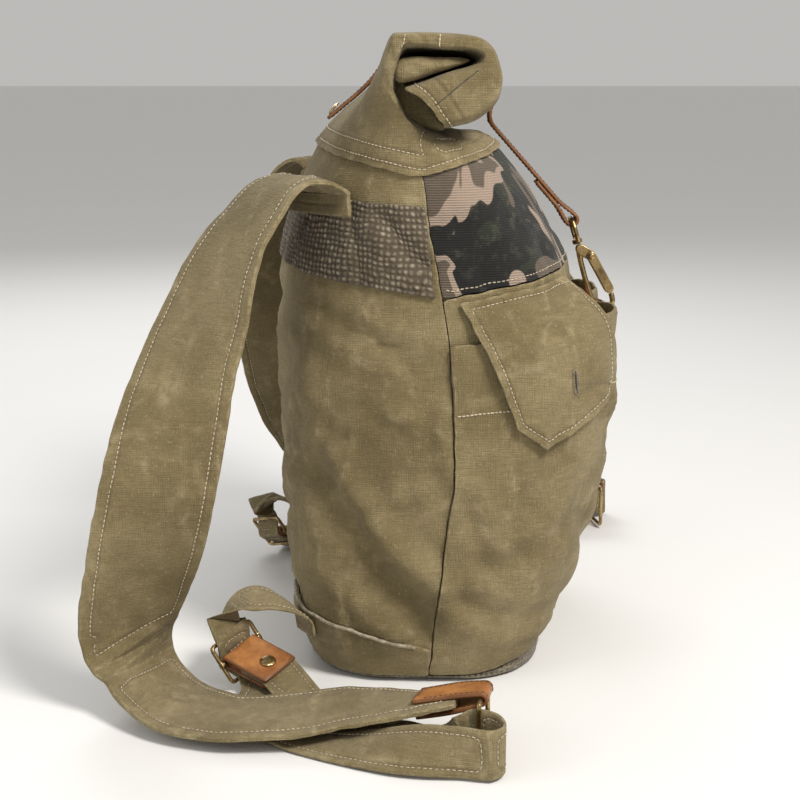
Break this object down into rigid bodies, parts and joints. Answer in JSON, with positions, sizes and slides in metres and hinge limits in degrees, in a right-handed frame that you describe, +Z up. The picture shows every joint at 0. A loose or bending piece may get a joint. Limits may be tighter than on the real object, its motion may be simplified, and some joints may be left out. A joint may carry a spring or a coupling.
{
  "type": "canvas backpack",
  "caption": "Roll-top canvas backpack with flapped front pockets, wide shoulder straps and a leather strap with a snap hook over the roll.",
  "frame": {"origin": "middle of the flat base, on the surface that the pack stands on", "axes": "+Z up, +X toward the pockets, -X toward the wearer's back, +Y along the roll"},
  "size_m": [0.4169, 0.6248, 0.4533],
  "materials": {
    "canvas": "washed olive-tan plain-weave canvas, worn paler along creases",
    "jute": "coarse grey-brown jute webbing in a basket weave",
    "camouflage": "ribbed cotton with dark green, near-black, tan and grey-brown patches",
    "leather": "oiled orange-tan leather with darker cut edges",
    "brass": "antique brass, brown in the hollows and bright where it rubs"
  },
  "bodies": {
    "pack": {"back_panel": "canvas", "front_panel": "canvas", "camo_panel": "camouflage", "jute_band": "jute", "base_band": "canvas", "collar": "canvas", "jute_base": "jute", "pocket_near": "canvas", "pocket_far": "canvas", "flap_near": "canvas", "flap_far": "canvas", "closure_strap": "leather", "closure_stud": "brass", "hook_swivel": "brass", "hook_body": "brass", "hook_pin": "brass", "front_tab": "leather", "front_ring": "brass", "shoulder_strap_near": "canvas", "strap_tab_near": "leather", "strap_ring_near": "brass", "lower_strap_near": "canvas", "slider_near": "brass", "slider_tab_near": "leather", "slider_rivet_near": "brass", "shoulder_strap_far": "canvas", "strap_tab_far": "leather", "strap_ring_far": "brass", "lower_strap_far": "canvas", "slider_far": "brass", "slider_tab_far": "leather", "slider_rivet_far": "brass"},
    "gate": {"hook_gate": "brass"}
  },
  "joints": [
    {"name": "hook_gate_hinge", "type": "hinge", "parent": "pack", "child": "gate", "pos_m": [0.12323, 0, 0.28687], "axis": [0, 1, 0], "range_deg": [0, 15], "stiffness_Nm_per_rad": 0.02, "springref_deg": -5.73}
  ]
}
